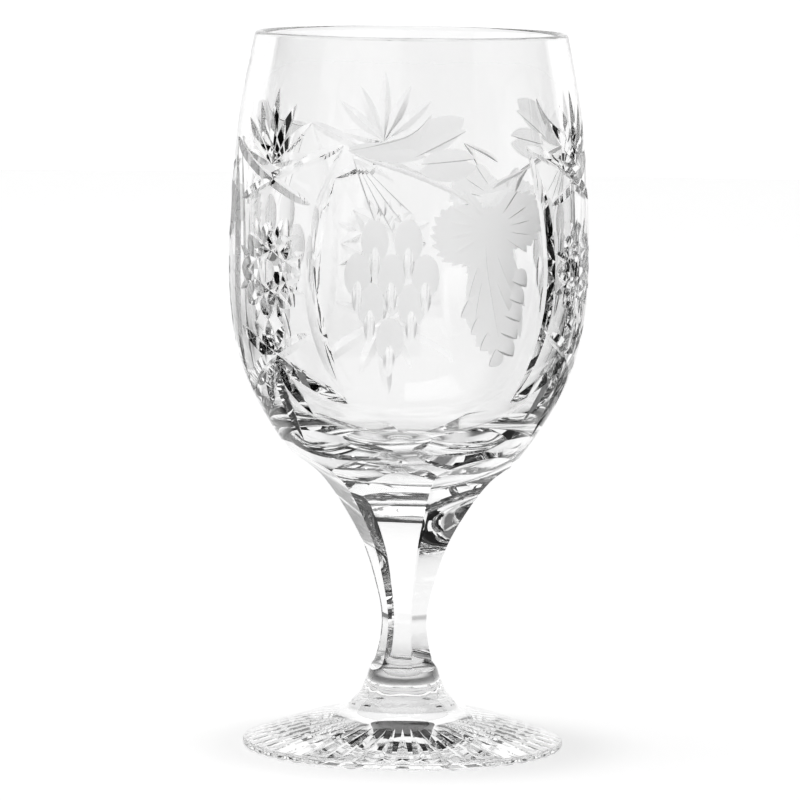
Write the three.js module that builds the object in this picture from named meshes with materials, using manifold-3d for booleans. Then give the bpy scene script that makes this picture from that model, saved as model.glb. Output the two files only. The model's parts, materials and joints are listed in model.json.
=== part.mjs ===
// Cut-crystal water goblet: a blown bowl, a six-sided stem and a rayed foot, fused one on the other.
// Millimetres, +Z up, origin at the middle of the foot's underside, the side in the photograph facing -Y.
import * as THREE from "three";
import Module from "manifold-3d";
import { LoftGeometry } from "three/addons/geometries/LoftGeometry.js";
import { mergeVertices } from "three/addons/utils/BufferGeometryUtils.js";

// Heights, each measured from the seam below it
const FOOT_HEIGHT = 19.7;
const STEM_HEIGHT = 39;
const BOWL_HEIGHT = 103;

// Foot
const FOOT_RADIUS = 36.2;
const FOOT_EDGE = 1.9;
const FOOT_EDGE_ROUND = 0.7;
const FOOT_SLOPE_RADIUS = 23;
const FOOT_SLOPE_HEIGHT = 6.3;
const COLLAR_SPREAD_RADIUS = 14.4;
const COLLAR_SPREAD_HEIGHT = 8.8;
const COLLAR_FLARE_RADIUS = 9.8;
const COLLAR_FLARE_HEIGHT = 12.4;
const COLLAR_RADIUS = 7;

// Rays cut into the underside of the foot
const RAYS = 48;
const RAY_START = 12;
const RAY_LENGTH = 26;
const RAY_WIDTH = 4.4;
const RAY_DEPTH = 0.7;

// Long flutes ground down the stem: distance of each flat from the axis, and levels from the nearest seam
const FLUTES = 6;
const FLUTE_TURN = 46.5;
const FLUTE_TOE = 8.6;
const FLUTE_TOE_DROP = 2.6;
const FLUTE_FOOT = 5.8;
const FLUTE_WAIST = 4.5;
const FLUTE_WAIST_RISE = 9;
const FLUTE_KNEE = 6;
const FLUTE_KNEE_RISE = 18;
const FLUTE_NECK = 9.2;
const FLUTE_NECK_DROP = 11;
const FLUTE_SEAM = 15.3;
const FLUTE_PETAL = 20.6;
const FLUTE_PETAL_RISE = 5.4;
const FLUTE_TIP = 29.5;
const FLUTE_TIP_RISE = 10.6;
const FLUTE_REACH = 60;
const STEM_BLANK_RADIUS = 14;

// Bowl: outside radius and wall at each level, levels measured from the bowl's seam
const RIM_RADIUS = 35.2;
const RIM_WALL = 1.8;
const SHOULDER_RADIUS = 38.7;
const SHOULDER_WALL = 2.4;
const SHOULDER_LEVEL = 82.5;
const BELLY_RADIUS = 40.5;
const BELLY_WALL = 3.4;
const BELLY_LEVEL = 56;
const WAIST_RADIUS = 39.8;
const WAIST_WALL = 3.9;
const WAIST_LEVEL = 39.5;
const FLANK_RADIUS = 36.4;
const FLANK_WALL = 4.9;
const FLANK_LEVEL = 25.6;
const HIP_RADIUS = 29;
const HIP_WALL = 5.5;
const HIP_LEVEL = 12.1;
const HIP_WALL_RISE = 3.4;
const BASE_RADIUS = 19.5;
const FLOOR_LEVEL = 8.4;
const FLOOR_MID_RADIUS = 12;
const FLOOR_MID_RISE = 1.3;

// Ornament cut into the bowl: grape panels and star columns take turns round it.
// Turns and leans are in degrees, levels are measured from the bowl's seam.
const PANELS = 3;
const PANEL_TURN = 9.3;

// Columns: two bowed borders, a cross above and one below, and a star in the middle
const STAR_LEVEL = 51;
const STAR_POINTS = 8;
const STAR_SKIP = 3;
const STAR_RADIUS = 10.8;
const STAR_CUT_WIDTH = 3.2;
const STAR_CUT_DEPTH = 0.9;
const BORDER_REACH = 28.5;
const BORDER_END_TURN = 29;
const BORDER_WAIST_TURN = 19.2;
const BORDER_WIDTH = 4.4;
const BORDER_DEPTH = 0.6;
const CROSS_END_TURN = 18;
const UPPER_CROSS_DROP = 13.4;
const UPPER_CROSS_WIDTH = 2.6;
const UPPER_CROSS_DEPTH = 0.8;
const LOWER_CROSS_RISE = 15.3;
const LOWER_CROSS_WIDTH = 3.6;
const LOWER_CROSS_DEPTH = 1.05;

// Fans of pointed leaves, each leaf with its lean from upright and its length
const UPPER_FAN_LEVEL = 74.5;
const UPPER_FAN = [
  { lean: 0, length: 17 },
  { lean: 25, length: 15 },
  { lean: 49, length: 15 },
  { lean: 77, length: 11.3 },
];
const UPPER_LEAF_WIDTH = 3;
const UPPER_LEAF_DEPTH = 0.9;
const LOWER_FAN_LEVEL = 31.8;
const LOWER_FAN = [
  { lean: 180, length: 19 },
  { lean: 150, length: 14.5 },
  { lean: 36, length: 9.5 },
  { lean: 0, length: 8.5 },
];
const LOWER_LEAF_WIDTH = 3.6;
const LOWER_LEAF_DEPTH = 1.05;

// Panels: a bunch of oval grapes beside the middle, row by row from the top
const BUNCH_ACROSS = -10.4;
const BUNCH_LEVEL = 58.9;
const BUNCH_ROWS = [
  { grapes: 2, spacing: 7.4, drop: 0 },
  { grapes: 3, spacing: 7.5, drop: 7.6 },
  { grapes: 2, spacing: 9.2, drop: 13.9 },
  { grapes: 1, spacing: 0, drop: 21.6 },
];
const GRAPE_WIDTH = 6.2;
const GRAPE_HEIGHT = 9.8;
const GRAPE_DEPTH = 0.4;

// How far a cutter runs on past the ends of its cut, as a share, and how far it stands out of the glass
const CUT_OVERRUN = 1.06;
const CUT_STANDOFF = 1.5;

// How soon a cut reaches its full depth: leaves swell all along, mitres only at their ends
const LEAF_FULLNESS = 2;
const BORDER_FULLNESS = 3;
const MITRE_FULLNESS = 8;

// Fineness of the faceted solids
const ROUND_SEGMENTS = 60;
const PROFILE_STEPS = 15;
const FLUTE_STEPS = 24;
const CUT_STEPS = 4;
const BORDER_STEPS = 6;
const GRAPE_SEGMENTS = 8;

const stemSeam = FOOT_HEIGHT;
const bowlSeam = FOOT_HEIGHT + STEM_HEIGHT;
const columnTurn = PANEL_TURN + 180 / PANELS;
const crystal = { color: 0xf4f6f6, roughness: 0.02, metalness: 0, transparent: true, opacity: 0.35 };

const wasm = await Module();
wasm.setup();

// A closed solid from a three.js geometry, without the zero-area triangles on a lathe's axis
function solidFrom(geometry) {
  const bare = new THREE.BufferGeometry();
  bare.setAttribute("position", geometry.attributes.position);
  bare.setIndex(geometry.index);
  const merged = mergeVertices(bare, 1e-4);
  const corners = merged.index.array;
  const triangles = [];
  for (let i = 0; i < corners.length; i += 3) {
    const [a, b, c] = corners.slice(i, i + 3);
    if (a !== b && b !== c && c !== a) triangles.push(a, b, c);
  }
  const mesh = new wasm.Mesh({
    numProp: 3,
    vertProperties: new Float32Array(merged.attributes.position.array),
    triVerts: new Uint32Array(triangles),
  });
  return new wasm.Manifold(mesh);
}

function geometryFrom(solid) {
  const mesh = solid.getMesh();
  const geometry = new THREE.BufferGeometry();
  geometry.setAttribute("position", new THREE.BufferAttribute(mesh.vertProperties, 3));
  geometry.setIndex(new THREE.BufferAttribute(mesh.triVerts, 1));
  geometry.computeVertexNormals();
  return geometry;
}

function point(radius, height) {
  return new THREE.Vector2(radius, height);
}

function smooth(points, steps) {
  return new THREE.SplineCurve(points).getPoints(steps);
}

// Body of revolution about +Z from an outline of (radius, height) points
function turned(outline) {
  return solidFrom(new THREE.LatheGeometry(outline, ROUND_SEGMENTS).rotateX(Math.PI / 2));
}

// One flute: everything outside a flat whose distance from the axis swells at both ends
function flute(turn) {
  const flat = smooth(
    [
      point(FLUTE_TOE, stemSeam - FLUTE_TOE_DROP),
      point(FLUTE_FOOT, stemSeam),
      point(FLUTE_WAIST, stemSeam + FLUTE_WAIST_RISE),
      point(FLUTE_KNEE, stemSeam + FLUTE_KNEE_RISE),
      point(FLUTE_NECK, bowlSeam - FLUTE_NECK_DROP),
      point(FLUTE_SEAM, bowlSeam),
      point(FLUTE_PETAL, bowlSeam + FLUTE_PETAL_RISE),
      point(FLUTE_TIP, bowlSeam + FLUTE_TIP_RISE),
    ],
    FLUTE_STEPS,
  );
  const shape = new THREE.Shape([
    ...flat,
    point(FLUTE_REACH, flat.at(-1).y),
    point(FLUTE_REACH, flat[0].y),
  ]);
  const block = new THREE.ExtrudeGeometry(shape, { depth: 2 * FLUTE_REACH, bevelEnabled: false });
  block.translate(0, 0, -FLUTE_REACH);
  block.rotateX(Math.PI / 2);
  block.rotateZ(turn);
  return solidFrom(block);
}

function fluted(blank) {
  let solid = blank;
  for (let i = 0; i < FLUTES; i++) {
    const turn = THREE.MathUtils.degToRad(FLUTE_TURN - 90) + (i * 2 * Math.PI) / FLUTES;
    solid = solid.subtract(flute(turn));
  }
  return solid;
}

// One ray: the upper half of a slim four-sided spike lying on the underside, its tip towards the middle
function ray(turn) {
  const spike = new THREE.ConeGeometry(1, RAY_LENGTH, 4);
  spike.scale(RAY_WIDTH / 2, 1, RAY_DEPTH);
  spike.rotateZ(Math.PI / 2);
  spike.translate(RAY_START + RAY_LENGTH / 2, 0, 0);
  spike.rotateZ(turn);
  return solidFrom(spike);
}

function makeFoot() {
  const collar = smooth(
    [
      point(FOOT_SLOPE_RADIUS, FOOT_SLOPE_HEIGHT),
      point(COLLAR_SPREAD_RADIUS, COLLAR_SPREAD_HEIGHT),
      point(COLLAR_FLARE_RADIUS, COLLAR_FLARE_HEIGHT),
      point(COLLAR_RADIUS, FOOT_HEIGHT),
    ],
    PROFILE_STEPS,
  );
  const blank = turned([
    point(0, 0),
    point(FOOT_RADIUS - FOOT_EDGE_ROUND, 0),
    point(FOOT_RADIUS, FOOT_EDGE_ROUND),
    point(FOOT_RADIUS, FOOT_EDGE - FOOT_EDGE_ROUND),
    point(FOOT_RADIUS - FOOT_EDGE_ROUND, FOOT_EDGE),
    ...collar,
    point(0, FOOT_HEIGHT),
  ]);
  let solid = fluted(blank);
  for (let i = 0; i < RAYS; i++) solid = solid.subtract(ray((i * 2 * Math.PI) / RAYS));
  return solid;
}

function makeStem() {
  const blank = turned([
    point(0, stemSeam),
    point(COLLAR_RADIUS, stemSeam),
    point(STEM_BLANK_RADIUS, bowlSeam - FLUTE_NECK_DROP),
    point(BASE_RADIUS, bowlSeam),
    point(0, bowlSeam),
  ]);
  return fluted(blank);
}

const bowlOutside = new THREE.SplineCurve([
  point(BASE_RADIUS, bowlSeam),
  point(HIP_RADIUS, bowlSeam + HIP_LEVEL),
  point(FLANK_RADIUS, bowlSeam + FLANK_LEVEL),
  point(WAIST_RADIUS, bowlSeam + WAIST_LEVEL),
  point(BELLY_RADIUS, bowlSeam + BELLY_LEVEL),
  point(SHOULDER_RADIUS, bowlSeam + SHOULDER_LEVEL),
  point(RIM_RADIUS, bowlSeam + BOWL_HEIGHT),
]);

// A place on the outside of the bowl, with the direction that points straight out of the glass there.
// The outline rises all the way, so halving the interval finds its level.
function spot(turn, level) {
  let low = 0;
  let high = 1;
  for (let i = 0; i < 30; i++) {
    const middle = (low + high) / 2;
    if (bowlOutside.getPoint(middle).y < bowlSeam + level) low = middle;
    else high = middle;
  }
  const outline = bowlOutside.getPoint(low);
  const tangent = bowlOutside.getTangent(low);
  const angle = THREE.MathUtils.degToRad(turn);
  const side = new THREE.Vector3(Math.sin(angle), -Math.cos(angle), 0);
  const place = side.clone().multiplyScalar(outline.x).setZ(outline.y);
  const outward = side.clone().multiplyScalar(tangent.y).setZ(-tangent.x);
  return { place, outward, radius: outline.x };
}

// The spot that lies some way across and up from another one, measured along the glass
function beside(turn, level, across, up) {
  const { radius } = spot(turn, level + up);
  return spot(turn + THREE.MathUtils.radToDeg(across / radius), level + up);
}

// A V-shaped cutter along a path of spots, which runs from -1 to 1 and where the cut fades out at both ends
function vCut(path, width, depth, fullness, steps = CUT_STEPS) {
  const sections = [];
  for (let i = 0; i <= steps; i++) {
    const along = CUT_OVERRUN * Math.sin((i / steps - 0.5) * Math.PI);
    const { place, outward } = path(along);
    const heading = path(along + 0.01).place.sub(place);
    const across = outward.clone().cross(heading).normalize();
    const sunk = depth * (1 - Math.abs(along) ** fullness);
    const half = ((sunk + CUT_STANDOFF) * width) / (2 * depth);
    const top = place.clone().addScaledVector(outward, CUT_STANDOFF);
    sections.push([
      place.clone().addScaledVector(outward, -sunk),
      top.clone().addScaledVector(across, half),
      top.clone().addScaledVector(across, -half),
    ]);
  }
  return solidFrom(new LoftGeometry(sections, { capStart: true, capEnd: true }));
}

function mitre(fromTurn, fromLevel, toTurn, toLevel, width, depth) {
  const { lerp } = THREE.MathUtils;
  const path = (along) => {
    const share = (1 + along) / 2;
    return spot(lerp(fromTurn, toTurn, share), lerp(fromLevel, toLevel, share));
  };
  return vCut(path, width, depth, MITRE_FULLNESS);
}

function leaf(turn, level, lean, length, width, depth) {
  const angle = THREE.MathUtils.degToRad(lean);
  const path = (along) => {
    const reach = (length * (1 + along)) / 2;
    return beside(turn, level, reach * Math.sin(angle), reach * Math.cos(angle));
  };
  return vCut(path, width, depth, LEAF_FULLNESS);
}

function fan(turn, level, leaves, width, depth) {
  const cuts = [];
  for (const { lean, length } of leaves) {
    const leans = lean % 180 === 0 ? [lean] : [lean, -lean];
    for (const side of leans) cuts.push(leaf(turn, level, side, length, width, depth));
  }
  return cuts;
}

// Star of chords that each skip some points, which leaves a small flat button in the middle
function star(turn) {
  const step = (2 * Math.PI) / STAR_POINTS;
  const cuts = [];
  for (let i = 0; i < STAR_POINTS; i++) {
    const middle = (i + STAR_SKIP / 2) * step;
    const inner = STAR_RADIUS * Math.cos((STAR_SKIP * step) / 2);
    const half = STAR_RADIUS * Math.sin((STAR_SKIP * step) / 2);
    const path = (along) =>
      beside(
        turn,
        STAR_LEVEL,
        inner * Math.sin(middle) + along * half * Math.cos(middle),
        inner * Math.cos(middle) - along * half * Math.sin(middle),
      );
    cuts.push(vCut(path, STAR_CUT_WIDTH, STAR_CUT_DEPTH, MITRE_FULLNESS));
  }
  return cuts;
}

// Border that bows towards the middle of its column
function border(turn, side) {
  const bow = BORDER_END_TURN - BORDER_WAIST_TURN;
  const path = (along) =>
    spot(turn + side * (BORDER_WAIST_TURN + bow * along ** 2), STAR_LEVEL + BORDER_REACH * along);
  return vCut(path, BORDER_WIDTH, BORDER_DEPTH, BORDER_FULLNESS, BORDER_STEPS);
}

function column(turn) {
  const node = STAR_LEVEL + BORDER_REACH;
  const tip = STAR_LEVEL - BORDER_REACH;
  const cuts = [
    ...star(turn),
    ...fan(turn, UPPER_FAN_LEVEL, UPPER_FAN, UPPER_LEAF_WIDTH, UPPER_LEAF_DEPTH),
    ...fan(turn, LOWER_FAN_LEVEL, LOWER_FAN, LOWER_LEAF_WIDTH, LOWER_LEAF_DEPTH),
  ];
  for (const side of [-1, 1]) {
    const outer = turn - side * BORDER_END_TURN;
    const inner = turn + side * CROSS_END_TURN;
    cuts.push(border(turn, side));
    cuts.push(mitre(outer, node, inner, node - UPPER_CROSS_DROP, UPPER_CROSS_WIDTH, UPPER_CROSS_DEPTH));
    cuts.push(mitre(outer, tip, inner, tip + LOWER_CROSS_RISE, LOWER_CROSS_WIDTH, LOWER_CROSS_DEPTH));
  }
  return cuts;
}

// One shallow oval, cut by a stretched ball whose middle lies outside the glass by half of its thickness
function grape(turn, level, across, up) {
  const { place, outward } = beside(turn, level, across, up);
  const half = 0.5;
  const reach = Math.sqrt(1 - half ** 2);
  const thickness = GRAPE_DEPTH / (1 - half);
  const ball = new THREE.SphereGeometry(1, GRAPE_SEGMENTS, GRAPE_SEGMENTS);
  ball.scale(GRAPE_WIDTH / 2 / reach, GRAPE_HEIGHT / 2 / reach, thickness);
  const right = new THREE.Vector3(0, 0, 1).cross(outward).normalize();
  const upward = outward.clone().cross(right);
  const stand = place.clone().addScaledVector(outward, half * thickness);
  ball.applyMatrix4(new THREE.Matrix4().makeBasis(right, upward, outward).setPosition(stand));
  return solidFrom(ball);
}

function bunch(turn) {
  const cuts = [];
  for (const { grapes, spacing, drop } of BUNCH_ROWS) {
    for (let i = 0; i < grapes; i++) {
      const across = BUNCH_ACROSS + (i - (grapes - 1) / 2) * spacing;
      cuts.push(grape(turn, BUNCH_LEVEL, across, -drop));
    }
  }
  return cuts;
}

function makeBowl() {
  const outside = bowlOutside.getPoints(PROFILE_STEPS);
  const inside = smooth(
    [
      point(RIM_RADIUS - RIM_WALL, bowlSeam + BOWL_HEIGHT),
      point(SHOULDER_RADIUS - SHOULDER_WALL, bowlSeam + SHOULDER_LEVEL),
      point(BELLY_RADIUS - BELLY_WALL, bowlSeam + BELLY_LEVEL),
      point(WAIST_RADIUS - WAIST_WALL, bowlSeam + WAIST_LEVEL),
      point(FLANK_RADIUS - FLANK_WALL, bowlSeam + FLANK_LEVEL),
      point(HIP_RADIUS - HIP_WALL, bowlSeam + HIP_LEVEL + HIP_WALL_RISE),
      point(FLOOR_MID_RADIUS, bowlSeam + FLOOR_LEVEL + FLOOR_MID_RISE),
      point(0, bowlSeam + FLOOR_LEVEL),
    ],
    PROFILE_STEPS,
  );
  let solid = fluted(turned([point(0, bowlSeam), ...outside, ...inside]));
  for (let i = 0; i < PANELS; i++) {
    const turn = (i * 360) / PANELS;
    for (const cut of column(columnTurn + turn)) solid = solid.subtract(cut);
    for (const cut of bunch(PANEL_TURN + turn)) solid = solid.subtract(cut);
  }
  return solid;
}

function piece(name, solid) {
  const mesh = new THREE.Mesh(geometryFrom(solid), new THREE.MeshStandardMaterial(crystal));
  mesh.name = name;
  return mesh;
}

const goblet = new THREE.Group();
goblet.add(piece("foot", makeFoot()));
goblet.add(piece("stem", makeStem()));
goblet.add(piece("bowl", makeBowl()));

export default goblet;
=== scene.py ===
# Cut-crystal water goblet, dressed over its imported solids. The photographed side faces -Y, +Z is up.
import json
import math
import bmesh
import bpy
import numpy as np
from mathutils import Matrix, Vector
from mathutils.kdtree import KDTree

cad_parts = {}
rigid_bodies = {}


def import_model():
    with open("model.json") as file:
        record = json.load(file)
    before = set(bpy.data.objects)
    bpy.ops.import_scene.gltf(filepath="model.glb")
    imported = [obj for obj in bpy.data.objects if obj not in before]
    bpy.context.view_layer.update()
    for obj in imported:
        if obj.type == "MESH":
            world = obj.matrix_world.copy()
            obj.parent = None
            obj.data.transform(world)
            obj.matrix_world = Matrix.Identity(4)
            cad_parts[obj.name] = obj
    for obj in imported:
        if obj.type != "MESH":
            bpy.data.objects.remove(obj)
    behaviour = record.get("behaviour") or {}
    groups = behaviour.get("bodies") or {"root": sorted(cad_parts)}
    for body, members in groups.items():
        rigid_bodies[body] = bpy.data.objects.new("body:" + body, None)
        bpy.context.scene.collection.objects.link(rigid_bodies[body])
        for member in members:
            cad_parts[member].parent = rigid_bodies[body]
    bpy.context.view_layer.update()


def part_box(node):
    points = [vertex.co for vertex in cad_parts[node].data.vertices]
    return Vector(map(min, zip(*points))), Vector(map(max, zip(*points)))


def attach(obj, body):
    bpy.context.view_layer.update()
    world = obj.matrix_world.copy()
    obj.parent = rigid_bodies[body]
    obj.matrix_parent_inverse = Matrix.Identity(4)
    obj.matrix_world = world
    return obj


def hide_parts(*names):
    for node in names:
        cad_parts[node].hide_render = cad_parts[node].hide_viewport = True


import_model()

# Sizes are in millimetres, turned into metres where a mesh is made
MM = 0.001
STEM_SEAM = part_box("stem")[0][2] / MM
BOWL_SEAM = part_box("stem")[1][2] / MM
RIM_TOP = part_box("bowl")[1][2] / MM

# Foot
FOOT_RADIUS = 36.2
FOOT_EDGE = 1.9
FOOT_EDGE_ROUND = 0.7
FOOT_SLOPE = (23, 6.3)
COLLAR_SPREAD = (14.4, 8.8)
COLLAR_FLARE = (9.8, 12.4)
COLLAR_RADIUS = 7
RAYS = 48
RAY_START = 12
RAY_LENGTH = 26
RAY_WIDTH = 4.4
RAY_DEPTH = 0.7

# Flutes of the stem: distance of each flat from the axis, and its level
FLUTES = 6
FLUTE_TURN = 46.5
FLUTE_FLAT = [
    (8.6, STEM_SEAM - 2.6),
    (5.8, STEM_SEAM),
    (4.5, STEM_SEAM + 9),
    (6, STEM_SEAM + 18),
    (9.2, BOWL_SEAM - 11),
    (15.3, BOWL_SEAM),
    (20.6, BOWL_SEAM + 5.4),
    (29.5, BOWL_SEAM + 10.6),
]
FLUTE_REACH = 60

# Bowl: radius and level of each station, and the wall behind it
BOWL_OUTSIDE = [
    (19.5, BOWL_SEAM),
    (29, BOWL_SEAM + 12.1),
    (36.4, BOWL_SEAM + 25.6),
    (39.8, BOWL_SEAM + 39.5),
    (40.5, BOWL_SEAM + 56),
    (38.7, BOWL_SEAM + 82.5),
    (35.2, RIM_TOP),
]
BOWL_INSIDE = [
    (33.4, RIM_TOP),
    (36.3, BOWL_SEAM + 82.5),
    (37.1, BOWL_SEAM + 56),
    (35.9, BOWL_SEAM + 39.5),
    (31.5, BOWL_SEAM + 25.6),
    (23.5, BOWL_SEAM + 15.5),
    (12, BOWL_SEAM + 9.7),
    (0, BOWL_SEAM + 8.4),
]

# Ornament: turns and leans in degrees, levels from the bowl's seam, cuts as (width, depth) and the leaves of
# a fan as (lean, length)
PANELS = 3
PANEL_TURN = 9.3
COLUMN_TURN = PANEL_TURN + 180 / PANELS
STAR_LEVEL = 51
STAR_POINTS = 8
STAR_SKIP = 3
STAR_RADIUS = 10.8
STAR_CUT = (3.2, 0.9)
STAR_LEAF_START = 6.2
STAR_LEAF_LENGTH = 6.4
STAR_LEAF_CUT = (1.9, 0.6)
BORDER_REACH = 28.5
BORDER_END_TURN = 29
BORDER_WAIST_TURN = 19.2
BORDER_CUT = (4.4, 0.6)
CROSS_END_TURN = 18
UPPER_CROSS_DROP = 13.4
UPPER_CROSS_CUT = (2.6, 0.8)
LOWER_CROSS_RISE = 15.3
LOWER_CROSS_CUT = (3.6, 1.05)
UPPER_FAN_LEVEL = 74.5
UPPER_FAN = [(0, 17), (25, 15), (49, 15), (77, 11.3)]
UPPER_LEAF_CUT = (3, 0.9)
LOWER_FAN_LEVEL = 31.8
LOWER_FAN = [(180, 19), (150, 14.5), (36, 9.5), (0, 8.5)]
LOWER_LEAF_CUT = (3.6, 1.05)

# Grape panel: places as (way across from the panel's middle, level), rows of grapes as (count, spacing,
# drop), lobes of the vine leaf as (lean, length, spread), its tiles as (count, first place, last place, run)
# and lobes of the top leaf as (place, size, lean)
BUNCH_PLACE = (-10.4, 58.9)
BUNCH_ROWS = [(2, 7.4, 0), (3, 7.5, 7.6), (2, 9.2, 13.9), (1, 0, 21.6)]
GRAPE_SIZE = (6.2, 9.8)
GRAPE_DEPTH = 0.4
SLIT_SIZE = (2.6, 8.2)
SLIT_DEPTH = 0.75
SLIT_DROP = 4.2
CANE = [(-20.2, 78.4), (-15.3, 76.4), (-7.1, 74), (-0.2, 71.3), (4.6, 69), (8.2, 66.2), (11.2, 61.7)]
TENDRIL = [(12.2, 70.4), (15.1, 72.2), (21.6, 74.6)]
TENDRIL_FORK = [(21.6, 74.6), (19.4, 72.3), (18, 69.3)]
CANE_CUT = (1.1, 0.3)
VINE_HEART = (12.3, 61.5)
PALM_REACH = 5
PALM_LOBES = [(175, 25.5, 29), (-98, 13.5, 50), (76, 13.5, 46)]
PALM_TEETH = 42
PALM_TOOTH = 0.11
VINE_DEPTH = 0.2
MAIN_VEIN = [(10.7, 60), (11.6, 51.5), (14.5, 37.3)]
SIDE_VEINS = [
    ((13.3, 56.7), (17.6, 47.7)),
    ((13.4, 50.6), (17.1, 43.2)),
    ((9.1, 53.8), (6.9, 46.5)),
    ((10.1, 50.7), (8.6, 41.5)),
]
LOBE_VEIN_LEANS = [38, 62, 80, 98, 120]
LOBE_VEIN_REACH = (3.5, 10.5)
VEIN_CUT = (3.2, 0.48)
LOBE_VEIN_CUT = (2.6, 0.3)
RIGHT_TILES = (5, (17, 50.3), (14.1, 34.9), (4.5, -1.6))
LEFT_TILES = (4, (6.9, 46.2), (14.1, 35.2), (-1.7, -4))
TILE_CUT = (4.6, 0.34)
TOP_LEAF_LOBES = [((-11.5, 78.2), (4.2, 17), 95), ((-0.3, 82.4), (7, 14), 60), ((2, 74.6), (5.2, 12.6), 86)]
LENS_POINT = 0.7
TOP_LEAF_VEINS = [((-5.8, 77.1), (6.1, 83)), ((-4.1, 75.8), (8.2, 77))]
TOP_LEAF_EDGE = [(-20.2, 78.4), (-15.2, 79.3), (-9.4, 80.7), (-6.2, 82), (-3.7, 84), (-1.6, 86.7)]
SPRAY_PLACE = (-19.2, 77.4)
SPRAY = [(133, 19), (142, 19), (151, 19.5), (160, 17)]
SPRAY_CUT = (2.8, 0.18)

# Cutters run on past the ends of their cuts and stand out of the glass. A higher fullness keeps a cut deep
# for longer before it fades out, and a lean makes one wall of a stroke steep
CUT_OVERRUN = 1.06
CUT_STANDOFF = 1.5
LEAF_FULLNESS = 2
BORDER_FULLNESS = 3
MITRE_FULLNESS = 8
STROKE_LEAN = 0.4
HEADING_STEP = 0.01
HOLLOW_START = 0.01
RAY_TIP = 0.001

# Fineness of the meshes
ROUND_SEGMENTS = 240
PROFILE_STEPS = 84
FLUTE_STEPS = 96
CUT_STEPS = 24
OVAL_SEGMENTS = 40
PALM_SEGMENTS = 240
HOLLOW_RINGS = 9
EDGE_STEPS = 8
RIM_STEPS = 12
NORMAL_SAMPLES = 1600
RIM_SAMPLES = 180
CREASE = math.radians(14)

# Finishes of the glass: grey of the colour, roughness, and grain as (scale, strength, height in metres)
GLASS_IOR = 1.545
POLISHED = (0.99, 0, (60, 0.05, 0.0002))
MATT = (0.97, 0.5, (2500, 0.3, 0.0001))
# Steep walls of lines: rough as ground glass, with a grey that is painted shade for the line's shaded side
GROUND_AND_PAINTED_SHADE = (0.6, 0.8, (2500, 0.3, 0.0001))

# Studio, in metres and degrees, with turns from straight behind the glass towards +X
FLOOR_RADIUS = 3
FLOOR_SEGMENTS = 96
FLOOR_GAP = 0.0002
STAGE_WHITE = 0.8
STAGE_BLACK = 0.02
ROOM = 0.03
SCREEN_RADIUS = 2
SHEET_STEP = 4
LEAST_SHEET_STEPS = 4

# Upright white screens and black flags as (first turn, last turn, height), and black cards on the floor that
# reach out to the screens as (first turn, last turn, start). The cards are painted shade: dark patches laid
# on the pale floor round the glass
SCREENS = [(-62, 62, 1.6), (-98, -82, 0.3)]
FLAGS = [(-180, -98, 1.2), (-82, -62, 1.2), (62, 180, 1.2)]
PAINTED_SHADE_CARDS = [
    (-202, -188, 0.37),
    (-188, -126, 0.2),
    (-126, -110, 0.42),
    (-74, -66, 0.55),
    (40, 66, 0.3),
    (66, 100, 0.24),
    (100, 114, 0.45),
]
CARD_LIFT = 0.001

# Glow of the floor by distance from the glass, with painted shade: bare, with a painted shadow round the
# foot, and as the glass shows it, painted darker near by and less so far off. Painted shade also darkens some
# rings that the glass shows, each as (reach sideways, start, end, loss), of which the first runs all round
# Painted shadow: the bare floor glows less round the foot
PAINTED_SHADOW_REACH = (0.03, 0.06)
PAINTED_SHADOW_GLOW = (0.75, 0.9)
# Painted shade as the glass shows the floor: darker near the glass, lifted towards white far off
NEAR_REACH = (0.03, 0.09)
NEAR_PAINTED_SHADE_GLOW = (0.65, 0.87)
FAR_REACH = (0.5, 1.2)
FAR_PAINTED_SHADE_GLOW = (1, 1.13)
# Rings of painted shade, which only reflections and refractions in the glass show
PAINTED_SHADE_RINGS = [
    ((-1, -0.5), (0.005, 0.009), (0.01, 0.022), 0.85),
    ((0.8, 0.9), (0.036, 0.05), (0.2, 0.3), 0.95),
    ((0.3, 0.5), (0.13, 0.3), (0.35, 0.8), 0.45),
]

# Softbox above the left side
SOFTBOX_TURN = -90
SOFTBOX_RISE = 75
SOFTBOX_DISTANCE = 2.4
SOFTBOX_SIZE = 1.4
SOFTBOX_POWER = 9

# Camera: the glass leans a little in the photograph, so the camera is rolled by as much
CAMERA_DISTANCE = 1.26
CAMERA_HEIGHT = 0.2117
CAMERA_FIELD = 8.15
CAMERA_ROLL = 0.743
CAMERA_AIM = (-0.00156, 0, 0.0787)
CAMERA_NEAR = 0.01

# How often light may bend and bounce in the glass
BENDS = 40
BOUNCES = 24

# Faces are marked by what made them, so that each kind gets its own normals and finish
TURNED_KINDS = ["outside", "rim", "inside", "underside", "edge", "top"]
KINDS = [*TURNED_KINDS, "flute", "ray", "cut", "matt", "line", "seam"]
marks = {kind: bpy.data.materials.new(kind) for kind in KINDS}


def spline(stations, shares):
    """Points on the smooth curve through some stations, at shares of the way from its start to its end."""
    knots = np.array(stations, float)
    last = len(knots) - 1
    place = np.atleast_1d(shares) * last
    index = np.clip(place.astype(int), 0, last - 1)
    share = (place - index)[:, None]
    before = knots[np.maximum(index - 1, 0)]
    start = knots[index]
    end = knots[index + 1]
    after = knots[np.minimum(index + 2, last)]
    leave = (end - before) / 2
    arrive = (after - start) / 2
    cubic = 2 * start - 2 * end + leave + arrive
    square = -3 * start + 3 * end - 2 * leave - arrive
    return ((cubic * share + square) * share + leave) * share + start


def curve(stations, steps):
    """Evenly spread points on the smooth curve through some stations."""
    return spline(stations, np.linspace(0, 1, steps + 1))


def arc(center, radius, first, last, steps):
    """Points on an arc, its angles in degrees from straight outwards."""
    angles = np.radians(np.linspace(first, last, steps + 1))
    return np.stack([center[0] + radius * np.cos(angles), center[1] + radius * np.sin(angles)], axis=1)


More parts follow.
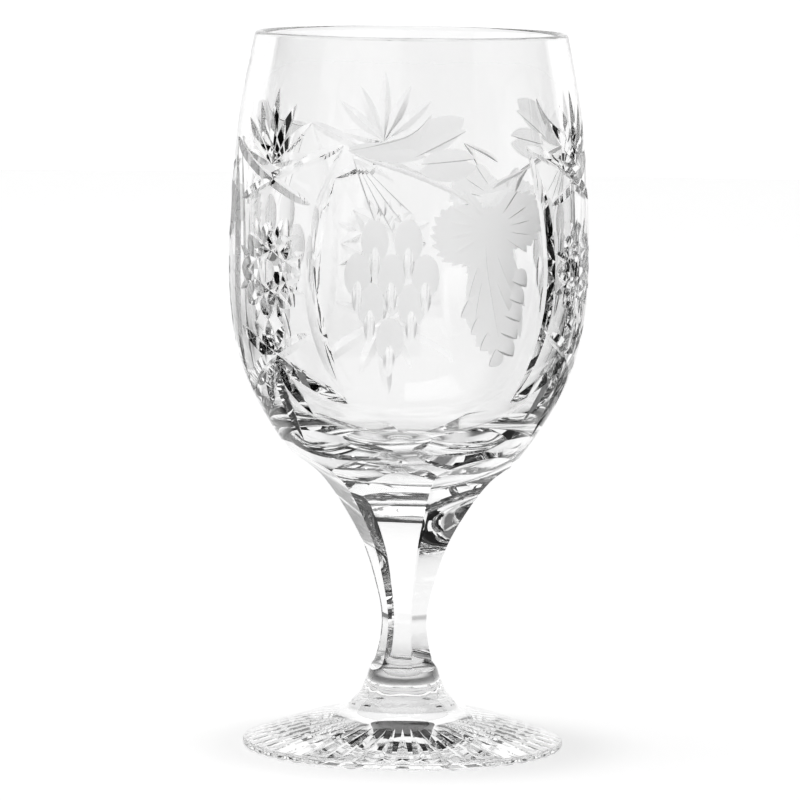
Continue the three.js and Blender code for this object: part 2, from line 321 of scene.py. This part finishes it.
def make_object(name, points, faces, kinds):
    mesh = bpy.data.meshes.new(name)
    mesh.from_pydata((np.array(points) * MM).tolist(), [], faces)
    for mark in marks.values():
        mesh.materials.append(mark)
    mesh.polygons.foreach_set("material_index", [KINDS.index(kind) for kind in kinds])
    mesh.update()
    piece = bpy.data.objects.new(name, mesh)
    bpy.context.scene.collection.objects.link(piece)
    return piece


def turned(name, stretches):
    """Body of revolution from stretches of outline, each a kind of face and its (radius, height) points."""
    outline = [tuple(stretches[0][1][0])]
    row_kinds = []
    for kind, points in stretches:
        for station in points[1:]:
            outline.append(tuple(station))
            row_kinds.append(kind)
    angles = np.arange(ROUND_SEGMENTS) * 2 * math.pi / ROUND_SEGMENTS
    points = []
    rows = []
    for radius, height in outline:
        count = ROUND_SEGMENTS if radius > 1e-6 else 1
        rows.append([len(points) + i % count for i in range(ROUND_SEGMENTS)])
        points += [(radius * math.cos(a), radius * math.sin(a), height) for a in angles[:count]]
    faces = []
    kinds = []
    for row, kind in enumerate(row_kinds):
        low, high = rows[row], rows[row + 1]
        for i in range(ROUND_SEGMENTS):
            j = (i + 1) % ROUND_SEGMENTS
            corners = dict.fromkeys([low[i], low[j], high[j], high[i]])
            faces.append(list(corners))
            kinds.append(kind)
    return make_object(name, points, faces, kinds)


def lofted(name, sections, kind, side_kinds=None):
    """Closed body through rings of points, with flat ends. Its sides may each be another kind of face."""
    count = len(sections[0])
    points = np.concatenate(sections)
    faces = [list(range(count))[::-1]]
    side_kinds = side_kinds or [kind] * count
    for row in range(len(sections) - 1):
        for i in range(count):
            j = (i + 1) % count
            low = row * count
            faces.append([low + i, low + j, low + count + j, low + count + i])
    faces.append([len(points) - count + i for i in range(count)])
    return make_object(name, points, faces, [kind, *side_kinds * (len(sections) - 1), kind])


def side(turn):
    """Direction that lies some degrees round from the photographed side, towards +X."""
    return np.array([math.sin(math.radians(turn)), -math.cos(math.radians(turn)), 0])


bowl_curve = curve(BOWL_OUTSIDE, NORMAL_SAMPLES)
bowl_slope = np.gradient(bowl_curve[:, 0]) / np.gradient(bowl_curve[:, 1])


def spot(turn, level):
    """A place on the outside of the bowl and the direction straight out of the glass there."""
    height = BOWL_SEAM + level
    radius = np.interp(height, bowl_curve[:, 1], bowl_curve[:, 0])
    slope = np.interp(height, bowl_curve[:, 1], bowl_slope)
    outward = side(turn) - np.array([0, 0, slope])
    return side(turn) * radius + np.array([0, 0, height]), outward / np.linalg.norm(outward)


def beside(turn, level, across, up):
    """The spot that lies some way across and up from another one, measured along the glass."""
    radius = np.interp(BOWL_SEAM + level + up, bowl_curve[:, 1], bowl_curve[:, 0])
    return spot(turn + math.degrees(across / radius), level + up)


def v_cut(path, width, depth, fullness, kind="cut", lean=0.0):
    """V-shaped cutter along a path that runs from -1 to 1. A lean makes one of its walls steeper."""
    sections = []
    for share in np.linspace(-0.5, 0.5, CUT_STEPS + 1):
        along = CUT_OVERRUN * math.sin(share * math.pi)
        place, outward = path(along)
        heading = path(along + HEADING_STEP)[0] - place
        across = np.cross(outward, heading)
        across /= np.linalg.norm(across)
        sunk = depth * (1 - abs(along) ** fullness)
        reach = (sunk + CUT_STANDOFF) * width / depth
        top = place + outward * CUT_STANDOFF
        sections.append([
            place - outward * sunk,
            top + across * reach * (0.5 + lean),
            top - across * reach * (0.5 - lean),
        ])
    side_kinds = [kind if lean >= 0 else "line", kind, kind if lean <= 0 else "line"]
    return lofted("cutter", sections, kind, side_kinds)


def mitre(start, end, cut):
    def path(along):
        turn = start[0] + (end[0] - start[0]) * (1 + along) / 2
        level = start[1] + (end[1] - start[1]) * (1 + along) / 2
        return spot(turn, level)
    return v_cut(path, *cut, MITRE_FULLNESS)


def leaf(turn, level, lean, length, cut):
    angle = math.radians(lean)

    def path(along):
        reach = length * (1 + along) / 2
        return beside(turn, level, reach * math.sin(angle), reach * math.cos(angle))
    return v_cut(path, *cut, LEAF_FULLNESS)


def fan(turn, level, leaves, cut):
    for lean, length in leaves:
        for sign in (1, -1) if lean % 180 else (1,):
            yield leaf(turn, level, sign * lean, length, cut)


def star_leaf(turn, angle):
    """Small cut that points straight out between two points of the star."""
    def path(along):
        reach = STAR_LEAF_START + STAR_LEAF_LENGTH * (1 + along) / 2
        return beside(turn, STAR_LEVEL, reach * math.sin(angle), reach * math.cos(angle))
    return v_cut(path, *STAR_LEAF_CUT, LEAF_FULLNESS)


def star(turn):
    step = 2 * math.pi / STAR_POINTS
    inner = STAR_RADIUS * math.cos(STAR_SKIP * step / 2)
    half = STAR_RADIUS * math.sin(STAR_SKIP * step / 2)
    for i in range(STAR_POINTS):
        middle = (i + STAR_SKIP / 2) * step

        def path(along):
            across = inner * math.sin(middle) + along * half * math.cos(middle)
            up = inner * math.cos(middle) - along * half * math.sin(middle)
            return beside(turn, STAR_LEVEL, across, up)
        yield v_cut(path, *STAR_CUT, MITRE_FULLNESS)
        yield star_leaf(turn, (i + 0.5) * step)


def border(turn, sign):
    bow = BORDER_END_TURN - BORDER_WAIST_TURN

    def path(along):
        return spot(turn + sign * (BORDER_WAIST_TURN + bow * along ** 2), STAR_LEVEL + BORDER_REACH * along)
    return v_cut(path, *BORDER_CUT, BORDER_FULLNESS)


def column(turn):
    node = STAR_LEVEL + BORDER_REACH
    tip = STAR_LEVEL - BORDER_REACH
    yield from star(turn)
    yield from fan(turn, UPPER_FAN_LEVEL, UPPER_FAN, UPPER_LEAF_CUT)
    yield from fan(turn, LOWER_FAN_LEVEL, LOWER_FAN, LOWER_LEAF_CUT)
    for sign in (-1, 1):
        outer = turn - sign * BORDER_END_TURN
        inner = turn + sign * CROSS_END_TURN
        yield border(turn, sign)
        yield mitre((outer, node), (inner, node - UPPER_CROSS_DROP), UPPER_CROSS_CUT)
        yield mitre((outer, tip), (inner, tip + LOWER_CROSS_RISE), LOWER_CROSS_CUT)


def lean_over(wide, long, lean):
    """Ways across and up of a place given by its ways beside and along a leaning line."""
    angle = math.radians(lean)
    across = long * math.sin(angle) + wide * math.cos(angle)
    return across, long * math.cos(angle) - wide * math.sin(angle)


def oval(size, lean=0, point=0):
    """Outline of a given width and length that leans to the right of upwards. A point sharpens its ends."""
    def rim(around):
        wide = size[0] / 2 * math.cos(around) * abs(math.cos(around)) ** point
        long = size[1] / 2 * math.sin(around)
        return lean_over(wide, long, lean)
    return rim


def palm(around):
    """Outline of the vine leaf round its heart, with a saw-toothed edge."""
    lean = math.degrees(around)
    reach = PALM_REACH
    for lobe_lean, length, spread in PALM_LOBES:
        off = (lean - lobe_lean + 180) % 360 - 180
        reach += (length - PALM_REACH) * math.exp(-abs(off / spread) ** 3)
    tooth = lean * PALM_TEETH / 360 % 1
    reach *= 1 + PALM_TOOTH * (tooth - 0.5)
    return lean_over(0, reach, lean)


def hollow(turn, place, rim, depth, kind="matt", segments=OVAL_SEGMENTS):
    """Shallow hollow that follows the glass, inside an outline round its place."""
    turns = np.arange(segments) * 2 * math.pi / segments
    edge = np.array([rim(around) for around in turns])

    def ring(share, lift):
        spots = [beside(turn, place[1], place[0] + across, up) for across, up in edge * share]
        return [ground + outward * lift for ground, outward in spots]
    shares = np.linspace(HOLLOW_START, CUT_OVERRUN, HOLLOW_RINGS)
    floor = [ring(share, -depth * (1 - share ** 2)) for share in shares]
    lid = [ring(share, CUT_STANDOFF) for share in (CUT_OVERRUN, HOLLOW_START)]
    return lofted("cutter", [*floor, *lid], kind)


def stroke(turn, stations, cut, lean=0.0, kind="matt"):
    """Engraved line through some places of the panel. With a lean it has a steep and a gentle wall."""
    def path(along):
        across, level = spline(stations, (1 + along) / 2)[0]
        return beside(turn, level, across, 0)
    return v_cut(path, *cut, LEAF_FULLNESS, kind, lean)


def bunch(turn):
    for grapes, spacing, drop in BUNCH_ROWS:
        for i in range(grapes):
            across = BUNCH_PLACE[0] + (i - (grapes - 1) / 2) * spacing
            level = BUNCH_PLACE[1] - drop
            yield hollow(turn, (across, level), oval(GRAPE_SIZE), GRAPE_DEPTH)
            yield hollow(turn, (across, level - SLIT_DROP), oval(SLIT_SIZE), SLIT_DEPTH, "cut")


def tiles(turn, count, first, last, run, lean):
    """Row of short strokes, stepped like roof tiles along the edge of a leaf."""
    for place in np.linspace(first, last, count):
        yield stroke(turn, [place, place + np.array(run)], TILE_CUT, lean)


def vine_leaf(turn):
    """Leaf with crisp veins in its middle and right lobes, soft ones in its left lobe, and tiled edges."""
    yield hollow(turn, VINE_HEART, palm, VINE_DEPTH, segments=PALM_SEGMENTS)
    yield stroke(turn, MAIN_VEIN, VEIN_CUT, STROKE_LEAN)
    for vein in SIDE_VEINS:
        yield stroke(turn, vein, VEIN_CUT, STROKE_LEAN)
    for lean in LOBE_VEIN_LEANS:
        for sign, tilt in ((1, STROKE_LEAN), (-1, 0)):
            heading = np.array([sign * math.sin(math.radians(lean)), math.cos(math.radians(lean))])
            ends = [np.array(VINE_HEART) + reach * heading for reach in LOBE_VEIN_REACH]
            yield stroke(turn, ends, LOBE_VEIN_CUT, tilt)
    yield from tiles(turn, *RIGHT_TILES, STROKE_LEAN)
    yield from tiles(turn, *LEFT_TILES, STROKE_LEAN)


def top_leaf(turn):
    for place, size, lean in TOP_LEAF_LOBES:
        yield hollow(turn, place, oval(size, lean, LENS_POINT), VINE_DEPTH)
    for vein in TOP_LEAF_VEINS:
        yield stroke(turn, vein, VEIN_CUT, STROKE_LEAN)
    yield stroke(turn, TOP_LEAF_EDGE, VEIN_CUT, -STROKE_LEAN)


def vine(turn):
    """All that is engraved in one panel: a bunch of grapes, two leaves on a cane and a spray of facets."""
    yield from bunch(turn)
    yield from vine_leaf(turn)
    yield from top_leaf(turn)
    for line in (CANE, TENDRIL, TENDRIL_FORK):
        yield stroke(turn, line, CANE_CUT)
    for lean, length in SPRAY:
        angle = math.radians(lean)
        tip = np.array(SPRAY_PLACE) + length * np.array([math.sin(angle), math.cos(angle)])
        yield stroke(turn, [SPRAY_PLACE, tip], SPRAY_CUT, STROKE_LEAN, "cut")


def flute_cutter(turn):
    """Everything outside one flat of the stem."""
    flat = curve(FLUTE_FLAT, FLUTE_STEPS)
    outline = [*flat, (FLUTE_REACH, flat[-1][1]), (FLUTE_REACH, flat[0][1])]
    across = np.array([-side(turn)[1], side(turn)[0], 0]) * FLUTE_REACH
    ends = []
    for sign in (1, -1):
        ends.append([side(turn) * r + np.array([0, 0, h]) + sign * across for r, h in outline])
    return lofted("cutter", ends, "flute")


def flute_turns():
    return [FLUTE_TURN + i * 360 / FLUTES for i in range(FLUTES)]


def ray_cutter(turn):
    """Upper half of a slim four-sided spike lying on the underside, its tip towards the middle."""
    along = side(turn)
    across = np.array([-along[1], along[0], 0])
    up = np.array([0, 0, 1])
    sections = []
    for radius, swell in ((RAY_START, RAY_TIP), (RAY_START + RAY_LENGTH, 1)):
        middle = along * radius
        sections.append([
            middle + across * swell * RAY_WIDTH / 2,
            middle + up * swell * RAY_DEPTH,
            middle - across * swell * RAY_WIDTH / 2,
            middle - up * swell * RAY_DEPTH,
        ])
    return lofted("cutter", sections, "ray")


def mend_facing(cutter):
    """Turns a cutter's faces outwards."""
    edit = bmesh.new()
    edit.from_mesh(cutter.data)
    if edit.calc_volume(signed=True) < 0:
        bmesh.ops.reverse_faces(edit, faces=edit.faces)
    edit.to_mesh(cutter.data)
    edit.free()


def carve(piece, cutters):
    """Cuts all the cutters out of a piece and removes them."""
    tools = bpy.data.collections.new("tools")
    bpy.context.scene.collection.children.link(tools)
    for cutter in cutters:
        tools.objects.link(cutter)
        mend_facing(cutter)
    boolean = piece.modifiers.new("cuts", "BOOLEAN")
    boolean.operation = "DIFFERENCE"
    boolean.operand_type = "COLLECTION"
    boolean.collection = tools
    boolean.solver = "MANIFOLD"
    evaluated = piece.evaluated_get(bpy.context.evaluated_depsgraph_get())
    carved = bpy.data.meshes.new_from_object(evaluated)
    piece.modifiers.clear()
    piece.data = carved
    for cutter in list(tools.objects):
        bpy.data.objects.remove(cutter)
    bpy.data.collections.remove(tools)


def outline_lookup(points):
    """Finds the outward normal in (radius, height) at any place near an outline."""
    step = np.gradient(np.array(points), axis=0)
    normals = np.stack([step[:, 1], -step[:, 0]], axis=1)
    normals /= np.linalg.norm(normals, axis=1)[:, None]
    tree = KDTree(len(points))
    for i, (radius, height) in enumerate(points):
        tree.insert((radius, height, 0), i)
    tree.balance()
    return tree, normals


def turned_normal(place, lookup):
    tree, normals = lookup
    radius = math.hypot(place.x, place.y)
    index = tree.find((radius / MM, place.z / MM, 0))[1]
    outward, up = normals[index]
    if radius < 1e-9:
        return (0, 0, up)
    return (outward * place.x / radius, outward * place.y / radius, up)


flute_curve = curve(FLUTE_FLAT, NORMAL_SAMPLES)
flute_slope = np.gradient(flute_curve[:, 0]) / np.gradient(flute_curve[:, 1])


def flute_normal(place, face_normal):
    turn = min(flute_turns(), key=lambda t: -np.dot(side(t), face_normal))
    slope = np.interp(place.z / MM, flute_curve[:, 1], flute_slope)
    return (side(turn) - np.array([0, 0, slope])) / math.hypot(1, slope)


def shade(piece, lookups):
    """Gives turned faces and flutes the normals of their true curves, with creases where kinds meet."""
    mesh = piece.data
    edit = bmesh.new()
    edit.from_mesh(mesh)
    for face in edit.faces:
        face.smooth = True
    for edge in edit.edges:
        kinds = {face.material_index for face in edge.link_faces}
        edge.smooth = len(kinds) == 1 and edge.calc_face_angle(math.pi) < CREASE
    edit.to_mesh(mesh)
    edit.free()
    normals = [tuple(corner.vector) for corner in mesh.corner_normals]
    for face in mesh.polygons:
        kind = mesh.materials[face.material_index].name
        for loop in face.loop_indices:
            place = mesh.vertices[mesh.loops[loop].vertex_index].co
            if kind in lookups:
                normals[loop] = turned_normal(place, lookups[kind])
            elif kind == "flute":
                normals[loop] = tuple(flute_normal(place, face.normal))
    mesh.normals_split_custom_set(normals)


def finish_piece(piece, node):
    """Swaps the marks for the finishes, with one slot for each finish, and puts the piece on its body."""
    mesh = piece.data
    finish_of = [finishes[mark.name] for mark in mesh.materials]
    slots = list(dict.fromkeys(finish_of))
    indices = [slots.index(finish_of[face.material_index]) for face in mesh.polygons]
    mesh.materials.clear()
    for finish in slots:
        mesh.materials.append(finish)
    mesh.polygons.foreach_set("material_index", indices)
    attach(piece, "root")
    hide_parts(node)


def make_bowl():
    lip = (BOWL_OUTSIDE[-1][0] - BOWL_INSIDE[0][0]) / 2
    lip_center = (BOWL_INSIDE[0][0] + lip, RIM_TOP - lip)
    outside = [*BOWL_OUTSIDE[:-1], (BOWL_OUTSIDE[-1][0], RIM_TOP - lip)]
    inside = [(BOWL_INSIDE[0][0], RIM_TOP - lip), *BOWL_INSIDE[1:]]
    bowl = turned("crystal_bowl", [
        ("seam", [(0, BOWL_SEAM), BOWL_OUTSIDE[0]]),
        ("outside", curve(outside, PROFILE_STEPS)),
        ("rim", arc(lip_center, lip, 0, 180, RIM_STEPS)),
        ("inside", curve(inside, PROFILE_STEPS)),
    ])
    cutters = [flute_cutter(turn) for turn in flute_turns()]
    for i in range(PANELS):
        cutters += column(COLUMN_TURN + i * 360 / PANELS)
        cutters += vine(PANEL_TURN + i * 360 / PANELS)
    carve(bowl, cutters)
    shade(bowl, {
        "outside": outline_lookup(curve(outside, NORMAL_SAMPLES)),
        "rim": outline_lookup(arc(lip_center, lip, 0, 180, RIM_SAMPLES)),
        "inside": outline_lookup(curve(inside, NORMAL_SAMPLES)),
    })
    finish_piece(bowl, "bowl")


def make_stem():
    flat = curve(FLUTE_FLAT, FLUTE_STEPS * 2)
    inside = flat[(flat[:, 1] > STEM_SEAM) & (flat[:, 1] < BOWL_SEAM)]
    ends = [np.interp(level, flat[:, 1], flat[:, 0]) for level in (STEM_SEAM, BOWL_SEAM)]
    flats = [(ends[0], STEM_SEAM), *inside, (ends[1], BOWL_SEAM)]
    corner = math.cos(math.pi / FLUTES)
    ridges = [turn + 180 / FLUTES for turn in flute_turns()]
    sections = [[side(t) * r / corner + np.array([0, 0, h]) for t in ridges] for r, h in flats]
    stem = lofted("crystal_stem", sections, "flute")
    for face in stem.data.polygons:
        if abs(face.normal.z) > 0.99 and len(face.vertices) == FLUTES:
            face.material_index = KINDS.index("seam")
    shade(stem, {})
    finish_piece(stem, "stem")


def make_foot():
    flat = FOOT_RADIUS - FOOT_EDGE_ROUND
    stations = [(flat, FOOT_EDGE), FOOT_SLOPE, COLLAR_SPREAD, COLLAR_FLARE, (COLLAR_RADIUS, STEM_SEAM)]
    lower = arc((flat, FOOT_EDGE_ROUND), FOOT_EDGE_ROUND, -90, 0, EDGE_STEPS)
    upper = arc((flat, FOOT_EDGE - FOOT_EDGE_ROUND), FOOT_EDGE_ROUND, 0, 90, EDGE_STEPS)
    edge = np.concatenate([lower, upper])
    foot = turned("crystal_foot", [
        ("underside", [(0, 0), (flat, 0)]),
        ("edge", edge),
        ("top", curve(stations, PROFILE_STEPS)),
        ("seam", [(COLLAR_RADIUS, STEM_SEAM), (0, STEM_SEAM)]),
    ])
    cutters = [flute_cutter(turn) for turn in flute_turns()]
    cutters += [ray_cutter(i * 360 / RAYS) for i in range(RAYS)]
    carve(foot, cutters)
    shade(foot, {
        "edge": outline_lookup(edge),
        "top": outline_lookup(curve(stations, NORMAL_SAMPLES)),
    })
    finish_piece(foot, "foot")


def new_material(name):
    material = bpy.data.materials.new(name)
    material.use_nodes = True
    return material, material.node_tree.nodes, material.node_tree.links


def add_bump(nodes, links, scale, strength, distance):
    """Fine unevenness of a ground or blown surface, sized in metres."""
    coordinates = nodes.new("ShaderNodeTexCoord")
    noise = nodes.new("ShaderNodeTexNoise")
    noise.inputs["Scale"].default_value = scale
    noise.inputs["Detail"].default_value = 2
    bump = nodes.new("ShaderNodeBump")
    bump.inputs["Strength"].default_value = strength
    bump.inputs["Distance"].default_value = distance
    links.new(coordinates.outputs["Object"], noise.inputs["Vector"])
    links.new(noise.outputs["Fac"], bump.inputs["Height"])
    links.new(bump.outputs["Normal"], nodes["Principled BSDF"].inputs["Normal"])


def glass_material(name, grey, roughness, grain):
    material, nodes, links = new_material(name)
    shader = nodes["Principled BSDF"]
    shader.inputs["Base Color"].default_value = (grey, grey, grey, 1)
    shader.inputs["Roughness"].default_value = roughness
    shader.inputs["IOR"].default_value = GLASS_IOR
    shader.inputs["Transmission Weight"].default_value = 1
    add_bump(nodes, links, *grain)
    return material


def crystal_material():
    """Polished glass, with faint waves."""
    return glass_material("polished_crystal", *POLISHED)


def matt_material():
    """Ground floor of the grapes and leaves."""
    return glass_material("matt_crystal", *MATT)


def line_material():
    """Steep side of an engraved line: rough from the grinding, and painted grey as painted shade for the
    line's steep wall.
    """
    return glass_material("ground_line_painted_shade", *GROUND_AND_PAINTED_SHADE)


def seam_material():
    """The pieces are fused at their seams, so light goes straight through there."""
    material, nodes = new_material("fused_seam")[:2]
    nodes["Principled BSDF"].inputs["Alpha"].default_value = 0
    return material


def join(nodes, links, operation, first, second):
    """Result of a calculation with two inputs, the second of which may be a plain number."""
    joint = nodes.new("ShaderNodeMath")
    joint.operation = operation
    links.new(first, joint.inputs[0])
    if isinstance(second, (int, float)):
        joint.inputs[1].default_value = second
    else:
        links.new(second, joint.inputs[1])
    return joint.outputs[0]


def ramp(nodes, links, value, reach, result):
    """Smooth change from one result to another while a value runs through its reach."""
    change = nodes.new("ShaderNodeMapRange")
    change.interpolation_type = "SMOOTHSTEP"
    for name, number in zip(("From Min", "From Max", "To Min", "To Max"), (*reach, *result)):
        change.inputs[name].default_value = number
    links.new(value, change.inputs["Value"])
    return change.outputs["Result"]


def stage_material(name, color):
    material, nodes, links = new_material(name)
    shader = nodes["Principled BSDF"]
    shader.inputs["Base Color"].default_value = (color, color, color, 1)
    shader.inputs["Roughness"].default_value = 1
    shader.inputs["Specular IOR Level"].default_value = 0
    shader.inputs["Emission Color"].default_value = (1, 1, 1, 1)
    return material, nodes, links


def add_glow(nodes, links, bare, through_glass):
    """Glow that only the camera sees: bare to the eye, and in a reflection or through glass."""
    light_path = nodes.new("ShaderNodeLightPath").outputs
    glass = join(nodes, links, "MAXIMUM", light_path["Is Glossy Ray"], light_path["Is Transmission Ray"])
    direct = join(nodes, links, "MULTIPLY", light_path["Is Camera Ray"], bare)
    indirect = join(nodes, links, "MULTIPLY", glass, through_glass)
    total = join(nodes, links, "ADD", direct, indirect)
    links.new(total, nodes["Principled BSDF"].inputs["Emission Strength"])


def floor_material():
    """White floor with painted shade: a painted shadow round the foot, and, as the glass shows it, darker
    near the foot and in some rings round it.
    """
    material, nodes, links = stage_material("studio_floor", STAGE_WHITE)
    place = nodes.new("ShaderNodeTexCoord").outputs["Object"]
    length = nodes.new("ShaderNodeVectorMath")
    length.operation = "LENGTH"
    links.new(place, length.inputs[0])
    distance = length.outputs["Value"]
    split = nodes.new("ShaderNodeSeparateXYZ")
    links.new(place, split.inputs[0])
    slant = join(nodes, links, "DIVIDE", split.outputs["X"], distance)
    sideways = join(nodes, links, "ABSOLUTE", slant, 0)
    # The floor as the glass shows it is painted darker near the glass
    near = ramp(nodes, links, distance, NEAR_REACH, NEAR_PAINTED_SHADE_GLOW)
    through_glass = join(nodes, links, "MULTIPLY", near, ramp(nodes, links, distance, FAR_REACH, FAR_PAINTED_SHADE_GLOW))
    # Painted shade in rings round the foot, only as the glass shows the floor
    for reach, start, end, loss in PAINTED_SHADE_RINGS:
        change = ramp(nodes, links, sideways, reach, (0, -loss))
        change = join(nodes, links, "MULTIPLY", change, ramp(nodes, links, distance, start, (0, 1)))
        change = join(nodes, links, "MULTIPLY", change, ramp(nodes, links, distance, end, (1, 0)))
        kept = join(nodes, links, "ADD", change, 1)
        through_glass = join(nodes, links, "MULTIPLY", through_glass, kept)
    # Bare floor as the camera sees it, with a painted shadow round the foot
    add_glow(nodes, links, ramp(nodes, links, distance, PAINTED_SHADOW_REACH, PAINTED_SHADOW_GLOW), through_glass)
    return material


def screen_material():
    material, nodes, links = stage_material("white_screen", STAGE_WHITE)
    add_glow(nodes, links, 1, 1)
    return material


def make_floor():
    edit = bmesh.new()
    bmesh.ops.create_circle(edit, cap_ends=True, segments=FLOOR_SEGMENTS, radius=FLOOR_RADIUS)
    mesh = bpy.data.meshes.new("floor")
    edit.to_mesh(mesh)
    edit.free()
    floor = bpy.data.objects.new("floor", mesh)
    floor.location.z = -FLOOR_GAP
    bpy.context.scene.collection.objects.link(floor)
    mesh.materials.append(floor_material())


def make_sheet(name, first, last, start, end, material):
    """Sheet bent round the glass between two turns. Its start and end are each a (distance, height)."""
    steps = max(LEAST_SHEET_STEPS, round((last - first) / SHEET_STEP))
    turns = np.radians(np.linspace(first, last, steps + 1))
    points = []
    for turn in turns:
        points += [(r * math.sin(turn), r * math.cos(turn), h) for r, h in (start, end)]
    faces = [(2 * i, 2 * i + 1, 2 * i + 3, 2 * i + 2) for i in range(steps)]
    mesh = bpy.data.meshes.new(name)
    mesh.from_pydata(points, [], faces)
    mesh.materials.append(material)
    sheet = bpy.data.objects.new(name, mesh)
    bpy.context.scene.collection.objects.link(sheet)


def make_softbox():
    data = bpy.data.lights.new("softbox", "AREA")
    data.size = SOFTBOX_SIZE
    data.energy = SOFTBOX_POWER
    lamp = bpy.data.objects.new("softbox", data)
    turn, rise = math.radians(SOFTBOX_TURN), math.radians(SOFTBOX_RISE)
    ahead = Vector((math.sin(turn) * math.cos(rise), math.cos(turn) * math.cos(rise), math.sin(rise)))
    lamp.location = ahead * SOFTBOX_DISTANCE
    lamp.rotation_euler = ahead.to_track_quat("Z", "Y").to_euler()
    bpy.context.scene.collection.objects.link(lamp)


def make_studio():
    white = screen_material()
    black = stage_material("black_flag", STAGE_BLACK)[0]
    make_floor()
    for kind, uprights, material in (("screen", SCREENS, white), ("flag", FLAGS, black)):
        for i, (first, last, height) in enumerate(uprights):
            top = (SCREEN_RADIUS, height)
            make_sheet(f"{kind}_{i + 1}", first, last, (SCREEN_RADIUS, 0), top, material)
    # Black cards on the floor: painted shade round the glass
    for i, (first, last, start) in enumerate(PAINTED_SHADE_CARDS):
        make_sheet(f"painted_shade_card_{i + 1}", first, last, (start, CARD_LIFT), (SCREEN_RADIUS, CARD_LIFT), black)
    make_softbox()
    world = bpy.data.worlds.new("studio")
    bpy.context.scene.world = world
    world.use_nodes = True
    world.node_tree.nodes["Background"].inputs["Color"].default_value = (ROOM, ROOM, ROOM, 1)


def make_camera():
    data = bpy.data.cameras.new("camera")
    data.sensor_fit = "HORIZONTAL"
    data.angle = math.radians(CAMERA_FIELD)
    data.clip_start = CAMERA_NEAR
    camera = bpy.data.objects.new("camera", data)
    bpy.context.scene.collection.objects.link(camera)
    eye = Vector((CAMERA_AIM[0], -CAMERA_DISTANCE, CAMERA_HEIGHT))
    look = (Vector(CAMERA_AIM) - eye).to_track_quat("-Z", "Y").to_matrix().to_4x4()
    camera.matrix_world = Matrix.Translation(eye) @ look @ Matrix.Rotation(math.radians(CAMERA_ROLL), 4, "Z")
    bpy.context.scene.camera = camera


crystal = crystal_material()
finishes = dict.fromkeys(KINDS, crystal)
finishes["matt"] = matt_material()
finishes["line"] = line_material()
finishes["seam"] = seam_material()

make_foot()
make_stem()
make_bowl()
for mark in marks.values():
    bpy.data.materials.remove(mark)
make_studio()
make_camera()

scene = bpy.context.scene
scene.view_settings.view_transform = "Standard"
scene.cycles.max_bounces = BENDS
scene.cycles.transmission_bounces = BENDS
scene.cycles.glossy_bounces = BOUNCES
scene.cycles.transparent_max_bounces = BOUNCES
